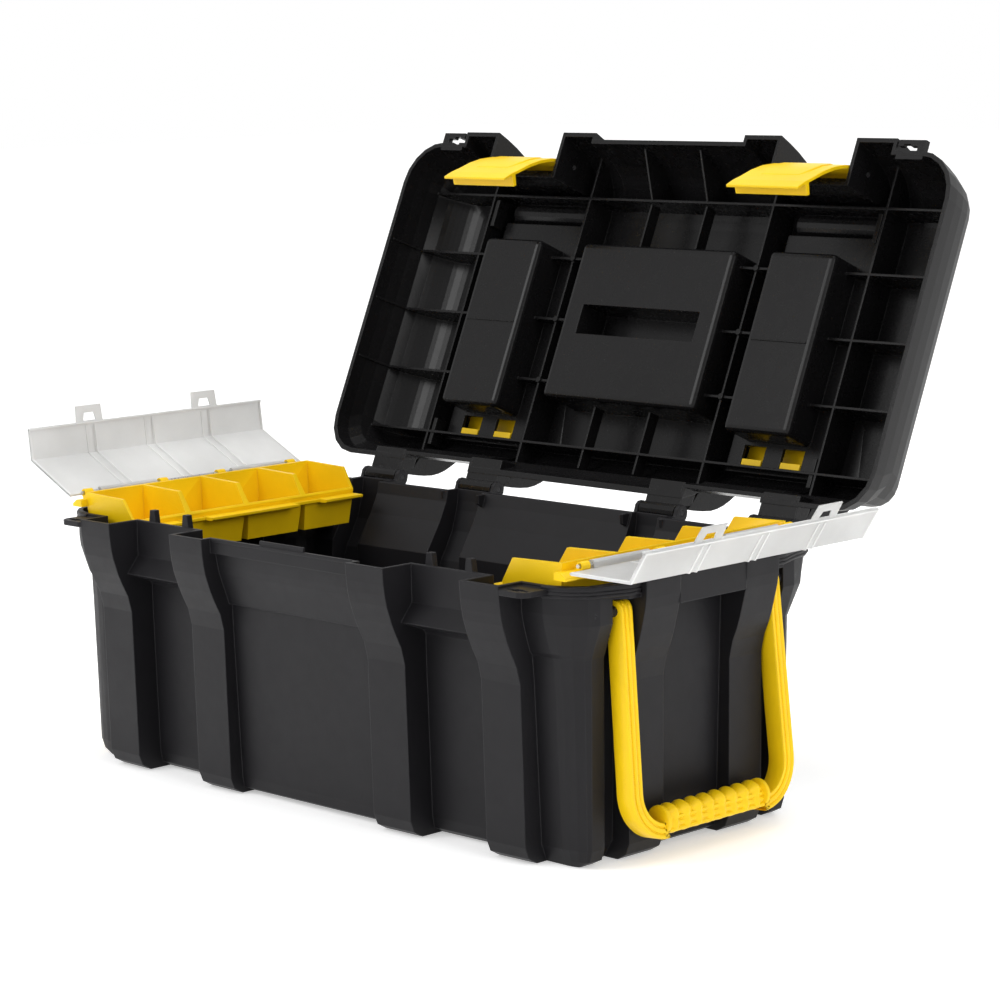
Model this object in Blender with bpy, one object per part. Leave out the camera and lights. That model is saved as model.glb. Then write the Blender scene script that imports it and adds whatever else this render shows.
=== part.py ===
"""Toolbox with a hinged lid, two end trays, two lid-top organisers, latches and end bails.

Frame: X along the box, -Y to the front, +Z up, origin at the centre of the tub's underside.
The lid and what hangs on it are modelled shut, then turned back to the open pose about the hinge.
Profiles and outlines are in millimetres; MM turns them into metres.
"""
import math

import bmesh
import bpy
from mathutils import Matrix, Vector

MM = 0.001
GAP = 0.3                 # clearance between neighbouring pieces
WALL = 3.0                # moulded wall of the tub and the lid

# Tub: |x| of the steps along its front and back, |y| of the steps along its ends.
RIM_Z = 204.5
FLOOR_Z = 3.5
PANEL_X = 82.3            # middle panel ends, inner pilaster starts
GATE_X = (121.8, 199.5)   # latch recess between the pilasters
PIER_X = 237.5            # outer pilaster ends, corner column starts
COLUMN_X = 258.0
COLUMN_Y = 104.0
SLOT_Y = (71.0, 82.5, 91.0)   # channel of a bail's leg
PANEL_Y = 35.6
BOW = 3.5                 # the front and back fall back this much at PIER_X
COLUMN_CURVE = ((0, 1), (0.27, 0.93), (0.62, 0.72), (0.9, 0.36), (1, 0))

# Profiles: (height, distance from the centre plane).
PIER = [(0, 120), (4.5, 128), (13, 131.5), (113, 133), (131, 133.8), (144, 137), (158, 144), (172, 149.5),
        (188, 152.7), (204.5, 153.7)]
MAIN = [(0, 108), (4.5, 118), (25, 121.6), (128, 123.9), (150.2, 124.4), (151, 127.4), (178, 137),
        (192, 139.5), (193, 144.6)]
GATE_WALL = [(0, 100), (4.5, 107.5), (24, 111.8), (151, 112), (176, 125.2)]
GATE_SKIRT = [(0, 100), (4.5, 107.5), (24, 111.8), (151, 112), (154.5, 114.5), (162.5, 136.5), (176, 125.2)]
COLUMN = [(0, 110), (13, 115), (108, 118), (151, 121), (154.5, 123.5), (172, 129), (184, 131)]
BACK_PIER = [(0, 120), (4.5, 128), (13, 131.5), (131, 134), (144, 138), (162.5, 150), (188, 158), (204.5, 160)]
BACK_MAIN = [(0, 108), (4.5, 118), (25, 121.6), (151, 126), (176, 142), (192, 150), (204.5, 155)]
BACK_GATE = [(0, 108), (4.5, 115), (25, 118), (151, 121), (176, 137), (192, 145), (204.5, 148)]
BACK_COLUMN = [(0, 110), (13, 115), (151, 122), (176, 138), (204.5, 148)]
COLUMN_END = [(0, 268), (4.5, 277), (13, 280), (151, 282), (176, 291)]
SLOT_START = [(0, 260), (13, 268), (192, 274), (193, 291)]
SLOT_BACK = [(0, 260), (13, 268), (192, 274), (193, 299)]
END_PIER = [(0, 273), (4.5, 281), (13, 285), (113, 286), (131, 287), (144, 290), (158, 296), (172, 300),
            (188, 304), (204.5, 305)]
END_PANEL = [(0, 262), (4.5, 271), (25, 275), (130, 277), (182, 279), (184, 304)]
TUB_OUTER = (0, 4.5, 13, 131, 144, 150.2, 151, 154.5, 162.5, 176, 182, 184, 192, 193, 204.5)
TUB_INNER = (204.5, 196, 195, 187, 185, 179, 170, 154, 147, 134, 16)
COLUMN_HOLLOW_Z = 165.0   # the corner columns are solid below this

PRONGS = (133, 145, 174, 186)     # |x| edges of the two locating prongs in each latch recess
PRONG_Y = (-122.6, -117.5)
PRONG_Z = (190.0, 214.0)
SHELF_X = (240.0, 261.0)          # ledges that a tray stands on
SHELF_FRONT = (-121.3, -104.0)
SHELF_REAR = (104.0, 127.0)
SHELF_THICK = 7.0
TAB = [(237, -123), (237, -149), (239.5, -151.5), (256.5, -151.5), (261, -149.3), (263.5, -144.5), (263.5, -123)]
TAB_Z = (198.3, 202.3)            # padlock tab on a front corner, seen from above in TAB
LOCK_X = 250.5                    # cross-shaped padlock slot
LOCK_Y = -144.0
LOCK_ARM = 10.5
LOCK_HALF = 1.9
LOCK_EYE = 3.6

# Lid hinge
HINGE_Y = 165.0
HINGE_Z = 206.0
LID_OPEN = math.radians(113.9)
HINGE_SPANS = ((-240.0, -201.0), (-122.2, -83.3), (83.3, 122.2), (201.0, 240.0))
CHEEK = 3.2
KNUCKLE_R = 6.5
PIN_R = 2.3

# Lid, in its own frame: s from the hinge axis to the front, n up from the axis.
LID_RIM = -0.9
LID_TOP = 66.0
LID_LEVELS = (0, 12, 24, 36, 46, 50, 54, 57, 60, 62, 64, 65.2, 66)
LID_SHRINK = [(0, 0), (12, 2), (24, 4.5), (36, 8), (46, 13), (50, 16.1), (54, 20), (57, 23.6), (60, 28),
              (62, 32.2), (64, 38), (65.2, 43.6), (66, 52)]
LID_BACK = [(0, 0), (12, 20), (22, 28), (48, 34), (54, 38), (60, 44), (64, 50), (66, 56)]
LID_MAIN_S = 312.0
LID_PIER_S = (318.0, 317.0)
LID_CORNER_S = 307.0
LID_CHANNEL_S = 280.0
LID_CHANNEL_X = (122.0, 199.6)
LID_PIER_X = (83.0, 240.0)
LID_END_X = 303.5
LID_FRONT_R = 38.0
LID_BACK_R = 33.0
LID_BACK_S = {"corner": 16.0, "cut": 20.4, "middle": 11.7}
RIB = 2.0
RIB_FOOT = 33.0
RIB_S = (51.5, 106.4, 161.3, 216.2, 271.1)
RIB_X = (-219.0, -103.0, 103.0, 219.0)
SEAT_X = (119.0, 205.0)           # sunk seat of an organiser cover
SEAT_S = (52.2, 247.0)
SEAT_FLOOR = 49.0
BIN_X = (131.7, 192.7)
BIN_S = (78.0, 223.3)
BIN_FLOOR = 17.7
WELL_X = 82.5                     # sunk well round the carrying bar
WELL_S = (93.4, 224.6)
WELL_FLOOR = 25.4
BOX_ROUND = 4.5                   # outer corners of the bins and the well
BAR_S = (144.0, 176.0)
BAR_TOP = 58.0
BAR_SLOT_X = 65.7
BAR_SLOT_S = (147.0, 173.0)
BAR_SLOT_TOP = 54.5
GROOVE_S = 262.0                  # finger groove in front of an organiser
GROOVE_N = 58.0
GROOVE_R = 7.0
LID_TAB_X = (242.0, 268.0)
LID_TAB_S = (300.0, 316.0)
LID_TAB_TOP = 4.0

# Organiser covers
ORGANISER_S = (57.0, 246.0)
ORGANISER_X = (119.6, 204.4)
ORGANISER_N = (62.5, 65.5)
ORGANISER_AXIS = (58.0, 62.0)     # s and n of the hinge line
HOOKS = ((131.0, 151.0), (171.0, 191.0))
HOOK_S = (55.5, 60.5)
HOOK_TIP = 45.5
HOOK_SLOT_S = (53.5, 72.0)        # long enough for a hook to swing out

# Latches
LATCH_S = 294.0
LATCH_N = 20.0
LATCH_REST = math.radians(35.0)
LATCH_X = (124.0, 197.6)
LATCH_PIN_X = (118.8, 202.8)
LATCH_PIN_R = 2.0
LATCH_BARREL_R = 5.5

# Trays, drawn for the right end
TRAY_Y = (-119.5, 120.5)
TRAY_FLOOR = 171.0
CUP_EDGES = (-119.5, -62.0, 0.0, 61.5, 120.5)
CUP_WALL = 1.1
CUP_END_WALL = 2.2
CUP_TOP = 228.0
CUP_DRAFT = 4.0                   # how far a cup's side walls lean in from its top to its floor
END_DRAFT = 0.8                   # the tray's own ends lean by this share of that
NOTCH_TOP = 193.0                 # the notch between two cups ends below the ledge
NOTCH_SKIN = 1.5                  # and leaves this much of each cup's wall
ROD_X = 279.5
ROD_Z = 218.0
ROD_R = 1.5
LUGS_Y = (-112.0, -34.0, 28.0, 106.0)
LUG_LONG = 8.0
BARRELS_Y = ((-100.0, -42.0), (40.0, 98.0))
SHEET = 1.8
COVER_Y = 125.8
LOOPS_Y = (-62.0, 62.0)
COVER_OPEN = {"left": math.radians(154.0), "right": math.radians(180.0)}

# Bails
BAIL_X = 285.5
BAIL_Z = 183.0
BAIL_TILT = math.radians(4.7)
LEG_Y = 82.0              # at the foot of a leg
LEG_TOP_Y = 79.0          # at its pivot
LEG_THICK = 12.0
LEG_DEEP = 16.0
LEG_TOP = 8.0
TURN_R = 30.0
BAR_DROP = 161.0          # from the pivot to the middle of the bottom bar
GRIP_DROP = 154.0
GRIP_R = 11.0
GRIP_HALF = 55.5
BAIL_PIN_R = 4.0
BAIL_PIN_Y = (69.5, 105.5)

BLACK = (0.018, 0.018, 0.019)
YELLOW = (0.93, 0.60, 0.01)
CLEAR = (0.86, 0.87, 0.87)
STEEL = (0.55, 0.55, 0.56)


# ---------------------------------------------------------------- helpers

def material(name, colour, roughness, metallic=0.0, transmission=0.0):
    made = bpy.data.materials.new(name)
    made.use_nodes = True
    shader = made.node_tree.nodes["Principled BSDF"]
    shader.inputs["Base Color"].default_value = (*colour, 1)
    shader.inputs["Roughness"].default_value = roughness
    shader.inputs["Metallic"].default_value = metallic
    shader.inputs["Transmission Weight"].default_value = transmission
    return made


def finish(name, bm, paint=None, parent=None):
    """Turns a bmesh drawn in millimetres into an object, smooth where it is round."""
    bmesh.ops.recalc_face_normals(bm, faces=bm.faces)
    bmesh.ops.scale(bm, vec=(MM, MM, MM), verts=bm.verts)
    mesh = bpy.data.meshes.new(name)
    bm.to_mesh(mesh)
    bm.free()
    if paint:
        mesh.materials.append(paint)
        mesh.shade_smooth()
        mesh.set_sharp_from_angle(angle=math.radians(32))
    made = bpy.data.objects.new(name, mesh)
    bpy.context.scene.collection.objects.link(made)
    made.parent = parent
    return made


def pivot(name, location, rotation=(0, 0, 0), parent=None):
    """An empty on a joint's axis, placed in millimetres."""
    made = bpy.data.objects.new(name, None)
    bpy.context.scene.collection.objects.link(made)
    made.parent = parent
    made.location = Vector(location) * MM
    made.rotation_euler = rotation
    return made


def combine(target, name, bm, operation="DIFFERENCE"):
    """Cuts or joins a closed form, kept as a hidden guide, with a Boolean modifier."""
    other = finish(name, bm, parent=target.parent)
    other.hide_render = True
    other.display_type = "WIRE"
    boolean = target.modifiers.new(name, "BOOLEAN")
    boolean.operation = operation
    boolean.object = other
    boolean.solver = "EXACT"
    return other


def add_box(bm, xs, ys, zs, taper=0.0, radius=0.0):
    """A box between pairs of coordinates.

    Taper narrows its lower end on all four sides; a radius rounds all but its top edges.
    """
    xs, ys, zs = sorted(xs), sorted(ys), sorted(zs)
    size = (xs[1] - xs[0], ys[1] - ys[0], zs[1] - zs[0], 1)
    middle = (sum(xs) / 2, sum(ys) / 2, sum(zs) / 2)
    made = bmesh.ops.create_cube(bm, size=1, matrix=Matrix.Translation(middle) @ Matrix.Diagonal(size))
    for v in made["verts"]:
        if v.co.z < middle[2]:
            v.co.x += math.copysign(taper, middle[0] - v.co.x)
            v.co.y += math.copysign(taper, middle[1] - v.co.y)
    if radius:
        edges = {e for v in made["verts"] for e in v.link_edges}
        below = [e for e in edges if any(v.co.z < middle[2] for v in e.verts)]
        bmesh.ops.bevel(bm, geom=below, offset=radius, segments=3, affect="EDGES", profile=0.5)


def add_rod(bm, start, end, radius, sides=12):
    """A cylinder between two points."""
    start, end = Vector(start), Vector(end)
    turn = (end - start).to_track_quat("Z", "Y").to_matrix().to_4x4()
    bmesh.ops.create_cone(bm, cap_ends=True, segments=sides, radius1=radius, radius2=radius,
                          depth=(end - start).length, matrix=Matrix.Translation((start + end) / 2) @ turn)


def add_prism(bm, loops, start, end, place):
    """Closed outlines, the first outside and the others holes, made solid from start to end.

    place(u, v, w) turns outline coordinates and the distance along into a point.
    """
    edges = []
    for loop in loops:
        verts = [bm.verts.new(place(u, v, start)) for u, v in loop]
        edges += [bm.edges.new((verts[i - 1], verts[i])) for i in range(len(verts))]
    filled = bmesh.ops.triangle_fill(bm, edges=edges, use_beauty=True)["geom"]
    faces = [g for g in filled if isinstance(g, bmesh.types.BMFace)]
    out = bmesh.ops.extrude_face_region(bm, geom=faces)["geom"]
    move = Vector(place(0, 0, end)) - Vector(place(0, 0, start))
    bmesh.ops.translate(bm, vec=move, verts=[g for g in out if isinstance(g, bmesh.types.BMVert)])


def along_x(u, v, w):
    return (w, u, v)


def along_x_shut(s, n, w):
    """Lid coordinates of a section that runs along X."""
    return (w, -s, n)


def arc(u, v, radius, start, end, steps):
    """Points round an arc, angles in degrees, both ends included."""
    angles = [math.radians(start + (end - start) * i / steps) for i in range(steps + 1)]
    return [(u + radius * math.cos(a), v + radius * math.sin(a)) for a in angles]


def circle(u, v, radius, sides):
    return arc(u, v, radius, 0, 360, sides)[:-1]


def reading(profile, height):
    """Linear reading of a (height, distance) profile, held beyond its ends."""
    if height <= profile[0][0]:
        return profile[0][1]
    for (h0, d0), (h1, d1) in zip(profile, profile[1:]):
        if height <= h1:
            return d0 + (d1 - d0) * (height - h0) / (h1 - h0)
    return profile[-1][1]


def inset(ring, distance):
    """The counterclockwise ring moved inwards, mitred at its corners."""
    out = []
    for before, at, after in zip(ring[-1:] + ring[:-1], ring, ring[1:] + ring[:1]):
        normals = []
        for a, b in ((before, at), (at, after)):
            along = (b - a).normalized()
            normals.append(Vector((-along.y, along.x)))
        out.append(at + (normals[0] + normals[1]) * distance / max(1 + normals[0].dot(normals[1]), 0.5))
    return out


def loft(bm, rings):
    """Joins equal rings of points in turn and closes both ends."""
    rows = [[bm.verts.new(p) for p in ring] for ring in rings]
    for low, high in zip(rows, rows[1:]):
        for i in range(len(low)):
            bm.faces.new((low[i - 1], low[i], high[i], high[i - 1]))
    bm.faces.new(rows[0])
    bm.faces.new(rows[-1])


def mirrored(half_ring):
    """A whole ring from its right half, which runs from the front to the back."""
    return [Vector(p) for p in half_ring] + [Vector((-x, y)) for x, y in reversed(half_ring)]


# ---------------------------------------------------------------- tub

def tub_side(z, main, pier, gate, column, column_end):
    """Right-hand points of the front or back as (x, distance from the centre plane)."""
    stations = [(PANEL_X, main), (PANEL_X, pier), (GATE_X[0], pier), (GATE_X[0], gate), (GATE_X[1], gate),
                (GATE_X[1], pier), (PIER_X, pier)]
    points = [(x, reading(profile, z) - BOW * (x / PIER_X) ** 2) for x, profile in stations]
    points.append((PIER_X, reading(column, z) - BOW))
    wide = reading(column_end, z) - COLUMN_X
    deep = reading(column, z) - BOW - COLUMN_Y
    points += [(COLUMN_X + u * wide, COLUMN_Y + v * deep) for u, v in COLUMN_CURVE]
    points.append((reading(column_end, z), SLOT_Y[2] + 0.5))
    ends = [(SLOT_Y[2], SLOT_START), (SLOT_Y[1], SLOT_BACK), (SLOT_Y[0], SLOT_BACK), (SLOT_Y[0], END_PIER),
            (PANEL_Y, END_PIER), (PANEL_Y, END_PANEL)]
    return points + [(reading(profile, z), y) for y, profile in ends]


def tub_ring(z, gate, column_end):
    front = tub_side(z, MAIN, PIER, gate, COLUMN, column_end)
    back = tub_side(z, BACK_MAIN, BACK_PIER, BACK_GATE, BACK_COLUMN, column_end)
    return mirrored([(x, -y) for x, y in front] + back[::-1])


def tub_shell():
    """The thin moulded shell: up its outside, over the rim and down its inside to the floor.

    The corner columns' feet and the catch skirts are filled in behind.
    """
    bm = bmesh.new()
    rings = [[(*p, z) for p in tub_ring(z, GATE_SKIRT, COLUMN_END)] for z in TUB_OUTER]
    for z in TUB_INNER:
        column_end = COLUMN_END if z > COLUMN_HOLLOW_Z else SLOT_START
        rings.append([(*p, z) for p in inset(tub_ring(z - WALL, GATE_WALL, column_end), WALL)])
    rings.append([(*p, FLOOR_Z) for p in inset(tub_ring(0, GATE_WALL, SLOT_START), 0.5)])
    loft(bm, rings)
    return bm


def lock_cross(x, y):
    """Outline of the padlock slot."""
    a, b, c = LOCK_ARM, LOCK_HALF, LOCK_EYE
    return [(x + u, y + v) for u, v in ((a, b), (c, b), (c, c), (-c, c), (-c, b), (-a, b), (-a, -b), (-c, -b),
                                        (-c, -c), (c, -c), (c, -b), (a, -b))]


def build_tub(paint):
    tub = finish("tub", tub_shell(), paint)

    bm = bmesh.new()
    for low, high in HINGE_SPANS:
        add_box(bm, (low, high), (HINGE_Y - 8.5, HINGE_Y + 12), (HINGE_Z - 8.5, HINGE_Z + 6))
    combine(tub, "guide_knuckle_room", bm)

    bm = bmesh.new()
    for low, high in HINGE_SPANS:
        for x in (low - CHEEK, high):
            cheek = [(141.5, 196), (158, 188), (162, 190)]
            cheek += arc(HINGE_Y, HINGE_Z, KNUCKLE_R, -30, 180, 6)
            cheek += [(157.5, RIM_Z - 0.7), (141.5, RIM_Z - 0.7)]
            add_prism(bm, [cheek], x, x + CHEEK, along_x)
    for side in (-1, 1):
        for left, right in (PRONGS[:2], PRONGS[2:]):
            add_prism(bm, [[(side * left, PRONG_Z[0]), (side * right, PRONG_Z[0]),
                            (side * (right - 3.5), PRONG_Z[1]), (side * (left + 3.5), PRONG_Z[1])]],
                      PRONG_Y[0], PRONG_Y[1], lambda u, v, w: (u, w, v))
        shelf = [side * x for x in SHELF_X]
        for ys in (SHELF_FRONT, SHELF_REAR):
            add_box(bm, shelf, ys, (TRAY_FLOOR - GAP - SHELF_THICK, TRAY_FLOOR - GAP))
        add_prism(bm, [[(side * x, y) for x, y in TAB]], TAB_Z[0], TAB_Z[1], lambda u, v, w: (u, v, w))
    combine(tub, "guide_tub_extras", bm, "UNION")

    bm = bmesh.new()
    for low, high in HINGE_SPANS:
        add_rod(bm, (low - 5, HINGE_Y, HINGE_Z), (high + 5, HINGE_Y, HINGE_Z), PIN_R + GAP, 10)
    for side in (-1, 1):
        for end in (-1, 1):
            inner, outer = (end * y for y in BAIL_PIN_Y)
            add_rod(bm, (side * BAIL_X, inner - end * 2, BAIL_Z), (side * BAIL_X, outer + end * 2, BAIL_Z),
                    BAIL_PIN_R + GAP)
        add_prism(bm, [lock_cross(side * LOCK_X, LOCK_Y)], TAB_Z[0] - 4, TAB_Z[1] + 2,
                  lambda u, v, w: (u, v, w))
    combine(tub, "guide_tub_holes", bm)


def build_tub_pins(steel, paint):
    """The four hinge pins and the four pins that the bails turn on."""
    for number, (low, high) in enumerate(HINGE_SPANS, 1):
        bm = bmesh.new()
        add_rod(bm, (low - CHEEK, 0, 0), (high + CHEEK, 0, 0), PIN_R, 10)
        finish(f"hinge_pin_{number}", bm, steel, pivot(f"hinge_pin_{number}_axis", (0, HINGE_Y, HINGE_Z)))
    for side, name in ((-1, "left"), (1, "right")):
        for end, place in ((-1, "front"), (1, "rear")):
            bm = bmesh.new()
            add_rod(bm, (0, end * BAIL_PIN_Y[0], 0), (0, end * BAIL_PIN_Y[1], 0), BAIL_PIN_R)
            at = pivot(f"bail_pin_{name}_{place}_axis", (side * BAIL_X, 0, BAIL_Z))
            finish(f"bail_pin_{name}_{place}", bm, paint, at)


# ---------------------------------------------------------------- lid

def lid_ring(n):
    """The lid's plan outline at height n, as (x, -s) points, front to back on the right."""
    shrink = reading(LID_SHRINK, n)
    front = [(LID_PIER_X[0], LID_MAIN_S), (LID_PIER_X[0], LID_PIER_S[0]), (LID_CHANNEL_X[0], LID_PIER_S[0]),
             (LID_CHANNEL_X[0], 0), (LID_CHANNEL_X[1], 0), (LID_CHANNEL_X[1], LID_PIER_S[1]),
             (LID_PIER_X[1], LID_PIER_S[1]), (LID_PIER_X[1], LID_CORNER_S)]
    channel = min(LID_CHANNEL_S, LID_MAIN_S - shrink - 1)
    points = [(x, s - shrink if s else channel) for x, s in front]
    side = LID_END_X - shrink
    radius = max(LID_FRONT_R - shrink, 7)
    points += arc(side - radius, LID_CORNER_S - shrink - radius, radius, 90, 0, 5)
    slope = reading(LID_BACK, n)
    depth = {zone: max(s, slope + (s - 16) * 0.3) for zone, s in LID_BACK_S.items()}
    radius = max(LID_BACK_R - shrink, 7)
    points += arc(side - radius, depth["corner"] + radius, radius, 0, -90, 4)
    points += [(GATE_X[1] + 1, depth["corner"]), (GATE_X[1] + 1, depth["cut"]),
               (LID_CHANNEL_X[0], depth["cut"]), (LID_CHANNEL_X[0] - 0.5, depth["middle"])]
    return mirrored([(x, -s) for x, s in points])


def lid_form(thickness):
    """The lid's outside as a solid, or with a thickness the room inside it."""
    rings = []
    for n in LID_LEVELS:
        ring = lid_ring(n)
        height = n
        if thickness:
            ring = inset(ring, thickness)
            height = n * (LID_TOP - thickness) / LID_TOP
        rings.append([(*p, height) for p in ring])
    low = LID_RIM - (5 if thickness else 0)
    rings[0] = [(x, y, low) for x, y, _ in rings[0]]
    bm = bmesh.new()
    loft(bm, rings)
    return bm


def twin_boxes(bm, xs, ss, ns, taper=0.0, radius=0.0):
    """The same box in the left and in the right half of the lid."""
    for side in (-1, 1):
        add_box(bm, [side * x for x in xs], [-s for s in ss], ns, taper, radius)


def grown(pair, amount):
    return (pair[0] - amount, pair[1] + amount)


def groove_form(radius, top):
    """Section of the finger groove, round below and open above."""
    return arc(GROOVE_S, GROOVE_N, radius, 180, 360, 8) + [(GROOVE_S + radius, top), (GROOVE_S - radius, top)]


def lid_hollow(hinge):
    """The room under the lid, left between the ribs and round the sunk seats, bins and well."""
    hollow = finish("guide_lid_hollow", lid_form(WALL), parent=hinge)
    hollow.hide_render = True
    hollow.display_type = "WIRE"
    above = LID_TOP + 5
    bm = bmesh.new()
    for s in RIB_S:
        add_box(bm, (-330, 330), (-s - RIB / 2, -s + RIB / 2), (RIB_FOOT, above))
    combine(hollow, "guide_long_ribs", bm)
    bm = bmesh.new()
    for x in RIB_X:
        add_box(bm, (x - RIB / 2, x + RIB / 2), (-340, -1), (RIB_FOOT, above))
    combine(hollow, "guide_cross_ribs", bm)
    bm = bmesh.new()
    twin_boxes(bm, grown(SEAT_X, WALL), grown(SEAT_S, WALL), (SEAT_FLOOR - WALL, above))
    add_box(bm, (-WELL_X - WALL, WELL_X + WALL), (-WELL_S[1] - WALL, -WELL_S[0] + WALL),
            (WELL_FLOOR - WALL, above), 0, BOX_ROUND)
    combine(hollow, "guide_seat_walls", bm)
    bm = bmesh.new()
    twin_boxes(bm, grown(BIN_X, WALL), grown(BIN_S, WALL), (BIN_FLOOR - WALL, SEAT_FLOOR - 1), 0, BOX_ROUND)
    for side in (-1, 1):
        xs = sorted(side * x for x in SEAT_X)
        add_prism(bm, [groove_form(GROOVE_R + WALL, above)], xs[0], xs[1], along_x_shut)
    combine(hollow, "guide_bin_walls", bm)
    return hollow


def build_lid(paint, hinge):
    lid = finish("lid", lid_form(0), paint, hinge)
    hollow = lid_hollow(hinge)
    boolean = lid.modifiers.new("hollow", "BOOLEAN")
    boolean.operation = "DIFFERENCE"
    boolean.object = hollow
    boolean.solver = "EXACT"

    above = LID_TOP + 5
    bm = bmesh.new()
    twin_boxes(bm, SEAT_X, SEAT_S, (SEAT_FLOOR, above))
    for side in (-1, 1):
        xs = sorted(side * x for x in SEAT_X)
        add_prism(bm, [groove_form(GROOVE_R, above)], xs[0] + 3, xs[1] - 3, along_x_shut)
    add_box(bm, (-WELL_X, WELL_X), (-WELL_S[1], -WELL_S[0]), (WELL_FLOOR, above), 0, BOX_ROUND - 1.5)
    combine(lid, "guide_seats", bm)
    bm = bmesh.new()
    twin_boxes(bm, BIN_X, BIN_S, (BIN_FLOOR, SEAT_FLOOR + 1), 1.5, BOX_ROUND - 1.5)
    for low, high in HOOKS:
        twin_boxes(bm, (low - 1.2, high + 1.2), HOOK_SLOT_S, (SEAT_FLOOR - 6, SEAT_FLOOR + 2))
    combine(lid, "guide_bins", bm)

    bm = bmesh.new()
    add_box(bm, (-WELL_X - 1, WELL_X + 1), (-BAR_S[1], -BAR_S[0]), (WELL_FLOOR - 1.5, BAR_TOP))
    for low, high in HINGE_SPANS:
        lug = arc(0, 0, KNUCKLE_R, -6, -270, 9)
        lug += [(10, 13), (27, 15), (25, LID_RIM + 0.2)]
        add_prism(bm, [lug], low + 1.2, high - 1.2, along_x_shut)
    for side in (-1, 1):
        add_box(bm, [side * x for x in LID_TAB_X], [-s for s in LID_TAB_S], (LID_RIM + 0.2, LID_TAB_TOP))
    combine(lid, "guide_lid_extras", bm, "UNION")

    bm = bmesh.new()
    add_box(bm, (-BAR_SLOT_X, BAR_SLOT_X), [-s for s in BAR_SLOT_S], (WELL_FLOOR - 6, BAR_SLOT_TOP))
    for low, high in HINGE_SPANS:
        add_rod(bm, (low, 0, 0), (high, 0, 0), PIN_R + GAP, 10)
    for side in (-1, 1):
        add_rod(bm, (side * (LATCH_PIN_X[0] - 1), -LATCH_S, LATCH_N),
                (side * (LATCH_PIN_X[1] + 1), -LATCH_S, LATCH_N), LATCH_PIN_R + GAP, 10)
        add_prism(bm, [lock_cross(side * LOCK_X, LOCK_Y - HINGE_Y)], LID_RIM - 3, LID_TAB_TOP + 3,
                  lambda u, v, w: (u, v, w))
    combine(lid, "guide_lid_holes", bm)


def build_organiser(side, paint, hinge):
    """A cover over a lid bin, with two hooks that pass through the slots in its seat."""
    name = "left" if side < 0 else "right"
    s0, n0 = ORGANISER_AXIS
    axis = pivot(f"organizer_{name}_axis", (0, -s0, n0), parent=hinge)
    xs = sorted(side * x for x in ORGANISER_X)
    bm = bmesh.new()
    edge = [(s - s0, n - n0) for s, n in ((57, 58.5), (57, 63.5), (59, 65.5), (244, 65.5), (246, 63.5),
                                          (246, 56), (244, 56), (244, 62.5), (59.5, 62.5), (59.5, 58.5))]
    add_prism(bm, [edge], xs[0], xs[1], along_x_shut)
    cover = finish(f"organizer_cover_{name}", bm, paint, axis)
    bm = bmesh.new()
    for low, high in HOOKS:
        xs = sorted((side * low, side * high))
        hook = [(s - s0, n - n0) for s, n in ((57.4, 63), (57.4, 50.5), (55.5, 48), (55.5, HOOK_TIP),
                                              (60.5, HOOK_TIP), (60.5, 48), (59.2, 50.5), (59.2, 63))]
        add_prism(bm, [hook], xs[0], xs[1], along_x_shut)
    combine(cover, f"guide_organizer_hooks_{name}", bm, "UNION")


def build_latch(side, paint, steel, hinge):
    """A curved latch on a steel pin: barrel, plate, gripping lip and hooking flange."""
    name = "left" if side < 0 else "right"
    axis = pivot(f"latch_{name}_axis", (0, -LATCH_S, LATCH_N), (LATCH_REST, 0, 0), hinge)
    section = arc(0, 0, LATCH_BARREL_R, -90, -350, 8)
    section += [(9.5, -8), (13.0, -20), (14.8, -34), (14.6, -48), (12.8, -62), (12.2, -70), (10.2, -80),
                (8.2, -80), (9.6, -70.5), (0.5, -70), (0.5, -67), (9.8, -66), (11.6, -48), (11.8, -34),
                (10.2, -21), (6.8, -9.5)]
    xs = sorted(side * x for x in LATCH_X)
    bm = bmesh.new()
    add_prism(bm, [section, circle(0, 0, LATCH_PIN_R + GAP, 10)], xs[0], xs[1], along_x_shut)
    finish(f"latch_{name}", bm, paint, axis)
    bm = bmesh.new()
    add_rod(bm, (side * LATCH_PIN_X[0], 0, 0), (side * LATCH_PIN_X[1], 0, 0), LATCH_PIN_R, 10)
    finish(f"latch_pin_{name}", bm, steel, axis)


# ---------------------------------------------------------------- trays

def lean(z):
    """How far a cup's side wall has leaned in at height z."""
    return CUP_DRAFT * (CUP_TOP - z) / (CUP_TOP - TRAY_FLOOR)


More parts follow.
